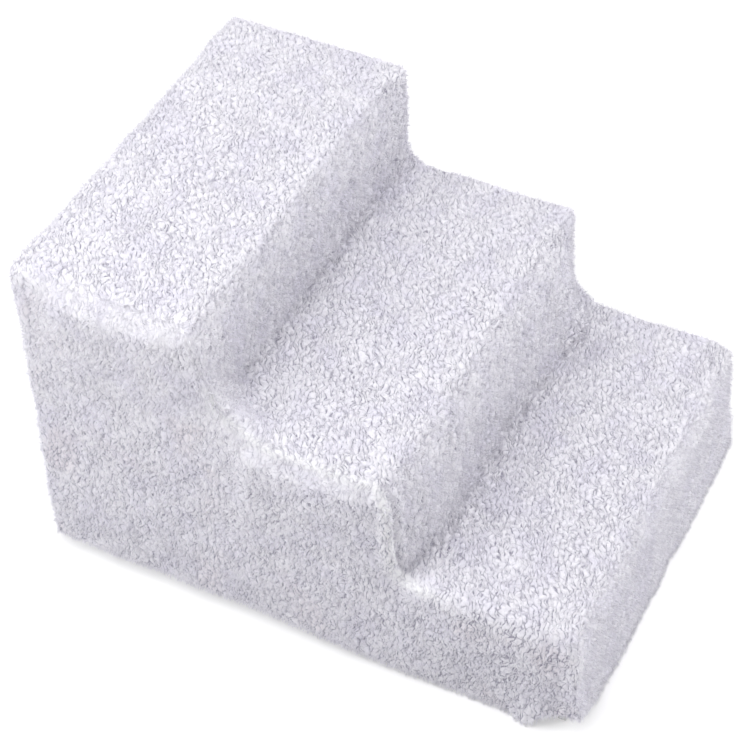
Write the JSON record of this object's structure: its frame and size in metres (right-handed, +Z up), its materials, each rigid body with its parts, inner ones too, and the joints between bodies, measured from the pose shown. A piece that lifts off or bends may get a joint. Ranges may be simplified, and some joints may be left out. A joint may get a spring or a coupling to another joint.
{
  "type": "pet stairs",
  "caption": "Three-step pet stairs: a knock-down plastic frame with steel support tubes under a lift-off deep-pile fleece cover held by hook-and-loop strips.",
  "frame": {"origin": "on the floor under the middle of the stairs' bounding box", "axes": "+X to the right seen from the front, +Y from the lowest step to the highest, +Z up"},
  "size_m": [0.34, 0.45, 0.3],
  "materials": {
    "frame_plastic": "moulded polypropylene, fine texture",
    "panel_plastic": "moulded polypropylene, fine texture",
    "tube_steel": "zinc-plated steel tube",
    "clip_plastic": "moulded nylon",
    "foot_rubber": "matt rubber",
    "hook_tape": "woven hook tape",
    "loop_tape": "napped loop tape",
    "fleece": "deep-pile berber fleece"
  },
  "bodies": {
    "frame": {"side_frame_left": "frame_plastic", "side_frame_right": "frame_plastic", "tread_panel_lower": "panel_plastic", "tread_panel_middle": "panel_plastic", "tread_panel_upper": "panel_plastic", "riser_panel_lower": "panel_plastic", "riser_panel_middle": "panel_plastic", "riser_panel_upper": "panel_plastic", "back_panel": "panel_plastic", "support_tube_lower": "tube_steel", "support_tube_middle": "tube_steel", "support_tube_upper": "tube_steel", "tread_clips": "clip_plastic", "riser_clips": "clip_plastic", "back_panel_clips": "clip_plastic", "foot_front_left": "foot_rubber", "foot_front_right": "foot_rubber", "foot_rear_left": "foot_rubber", "foot_rear_right": "foot_rubber", "hook_strip_left": "hook_tape", "hook_strip_right": "hook_tape"},
    "cover": {"cover_side_left": "fleece", "cover_side_right": "fleece", "cover_step_lower": "fleece", "cover_step_middle": "fleece", "cover_step_upper": "fleece", "cover_back": "fleece", "loop_strip_left": "loop_tape", "loop_strip_right": "loop_tape"}
  },
  "joints": [
    {"name": "cover_lift", "type": "slide", "parent": "frame", "child": "cover", "axis": [0, 0, 1], "range_m": [0, 0.31]}
  ]
}
